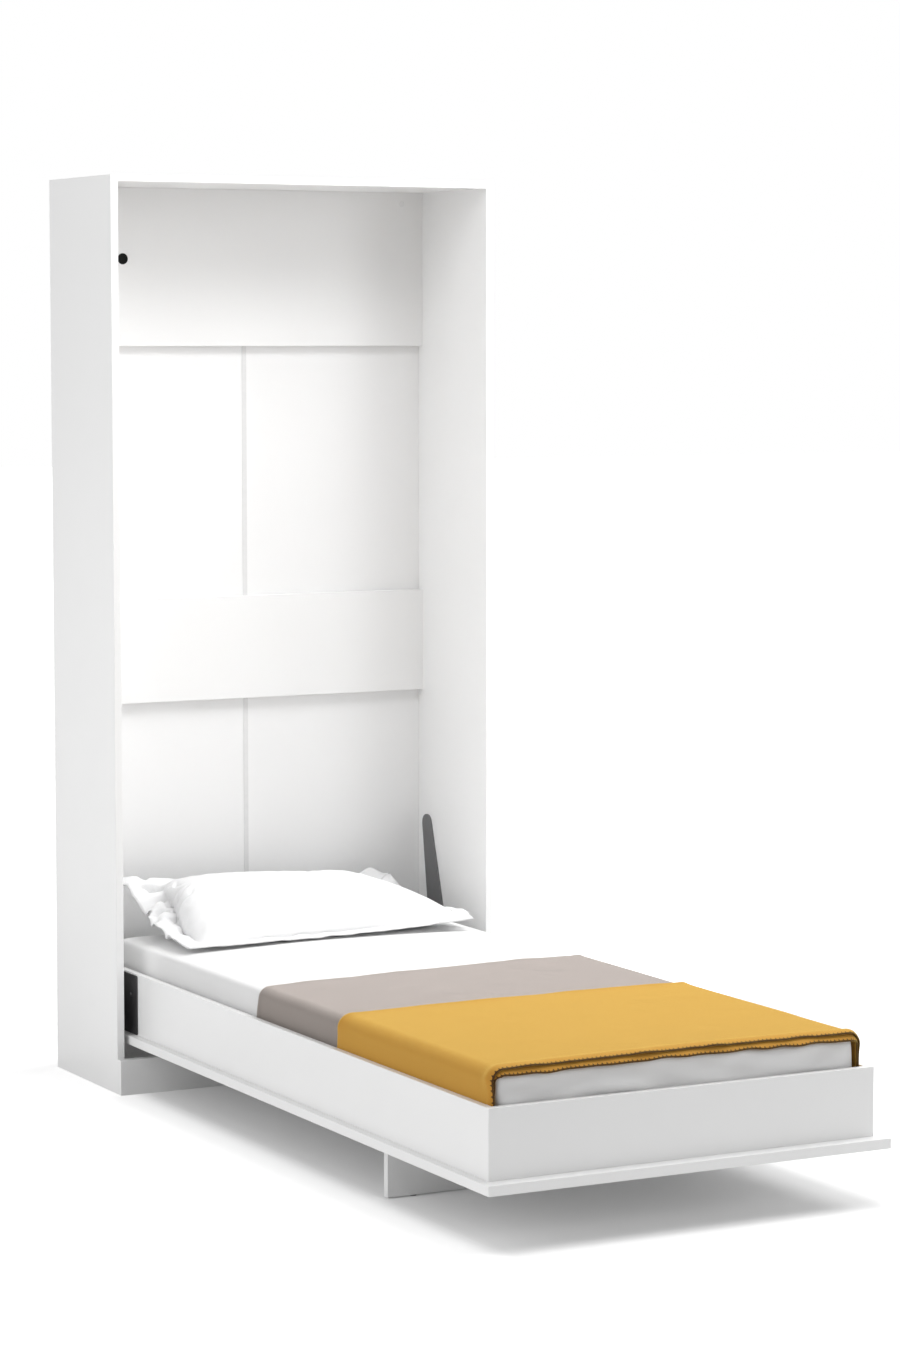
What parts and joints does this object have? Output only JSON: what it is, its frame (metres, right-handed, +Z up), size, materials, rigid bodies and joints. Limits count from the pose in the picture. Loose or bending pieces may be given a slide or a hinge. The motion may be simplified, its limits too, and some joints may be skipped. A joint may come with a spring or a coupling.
{
  "type": "wall bed",
  "caption": "Single vertical wall bed: tall open cabinet with a fold-down bed box on steel pivots and gas springs, a folding leg board, mattress, throw, blanket and pillow.",
  "frame": {"origin": "on the wall plane at floor level, in the middle of the cabinet's width", "axes": "+X to the right seen from the front, +Y into the wall, +Z up; the front faces -Y"},
  "size_m": [1.05, 2.254, 2.25],
  "materials": {
    "white_board": "satin white melamine-faced board",
    "white_hardboard": "thin white board, smooth face",
    "plywood": "bare wood, satin",
    "dark_steel": "matte dark grey paint",
    "bright_steel": "zinc-plated, satin",
    "black_plastic": "matte black",
    "bush_plastic": "matte, self-lubricating",
    "strip_plastic": "matte white",
    "rod_chrome": "polished",
    "glide_plastic": "matte grey",
    "mattress_cloth": "soft white cover",
    "pillow_cloth": "white cotton",
    "taupe_cloth": "matte taupe weave",
    "mustard_cloth": "matte mustard weave"
  },
  "bodies": {
    "cabinet": {"left_side_panel": "white_board", "right_side_panel": "white_board", "top_panel": "white_board", "upper_rail": "white_board", "middle_rail": "white_board", "lower_rail": "white_board", "plinth": "white_board", "plinth_brackets": "bright_steel", "back_panel_left": "white_hardboard", "back_panel_right": "white_hardboard", "back_joint_strip": "strip_plastic", "cabinet_dowels": "plywood", "cable_cap": "black_plastic", "side_plate_left": "dark_steel", "side_plate_right": "dark_steel", "plate_screws_left": "dark_steel", "plate_screws_right": "dark_steel", "pivot_bush_left": "bush_plastic", "pivot_bush_right": "bush_plastic", "spring_clips": "dark_steel"},
    "bed": {"front_panel": "white_board", "side_rail_left": "white_board", "side_rail_right": "white_board", "foot_rail": "white_board", "head_rail": "white_board", "frame_dowels": "plywood", "slat_ledge_left": "plywood", "slat_ledge_right": "plywood", "slats": "plywood", "crank_plate_left": "dark_steel", "crank_plate_right": "dark_steel", "crank_bolts_left": "bright_steel", "crank_bolts_right": "bright_steel", "pivot_pin_left": "bright_steel", "pivot_pin_right": "bright_steel", "leg_hinge_fixed_leaves": "bright_steel", "mattress": "mattress_cloth", "grey_throw": "taupe_cloth", "mustard_blanket": "mustard_cloth", "pillow": "pillow_cloth"},
    "leg": {"leg_board": "white_board", "leg_hinge_moving_leaves": "bright_steel", "leg_glides": "glide_plastic"},
    "spring_left": {"spring_cylinder_left": "dark_steel"},
    "rod_left": {"spring_rod_left": "rod_chrome"},
    "spring_right": {"spring_cylinder_right": "dark_steel"},
    "rod_right": {"spring_rod_right": "rod_chrome"}
  },
  "joints": [
    {"name": "bed_fold", "type": "hinge", "parent": "cabinet", "child": "bed", "pos_m": [0, -0.27, 0.245], "axis": [-1, 0, 0], "range_deg": [0, 90], "deforming": ["pillow"]},
    {"name": "leg_fold", "type": "hinge", "parent": "bed", "child": "leg", "pos_m": [0, -1.69, 0.118], "axis": [1, 0, 0], "range_deg": [0, 90]},
    {"name": "spring_swing_left", "type": "hinge", "parent": "cabinet", "child": "spring_left", "pos_m": [-0.491, -0.112, 0.35], "axis": [-1, 0, 0], "range_deg": [0, 18.44]},
    {"name": "rod_slide_left", "type": "slide", "parent": "spring_left", "child": "rod_left", "axis": [0, -0.4966, -0.868], "range_m": [0, 0.09891]},
    {"name": "spring_swing_right", "type": "hinge", "parent": "cabinet", "child": "spring_right", "pos_m": [0.491, -0.112, 0.35], "axis": [-1, 0, 0], "range_deg": [0, 18.44]},
    {"name": "rod_slide_right", "type": "slide", "parent": "spring_right", "child": "rod_right", "axis": [0, -0.4966, -0.868], "range_m": [0, 0.09891]}
  ],
  "couplings": [
    {"joint": "leg_fold", "follows": "bed_fold", "ratio": 1},
    {"joint": "spring_swing_left", "follows": "bed_fold", "ratio": 0.20485},
    {"joint": "rod_slide_left", "follows": "bed_fold", "m_per_rad": 0.062961},
    {"joint": "spring_swing_right", "follows": "bed_fold", "ratio": 0.20485},
    {"joint": "rod_slide_right", "follows": "bed_fold", "m_per_rad": 0.062961}
  ]
}
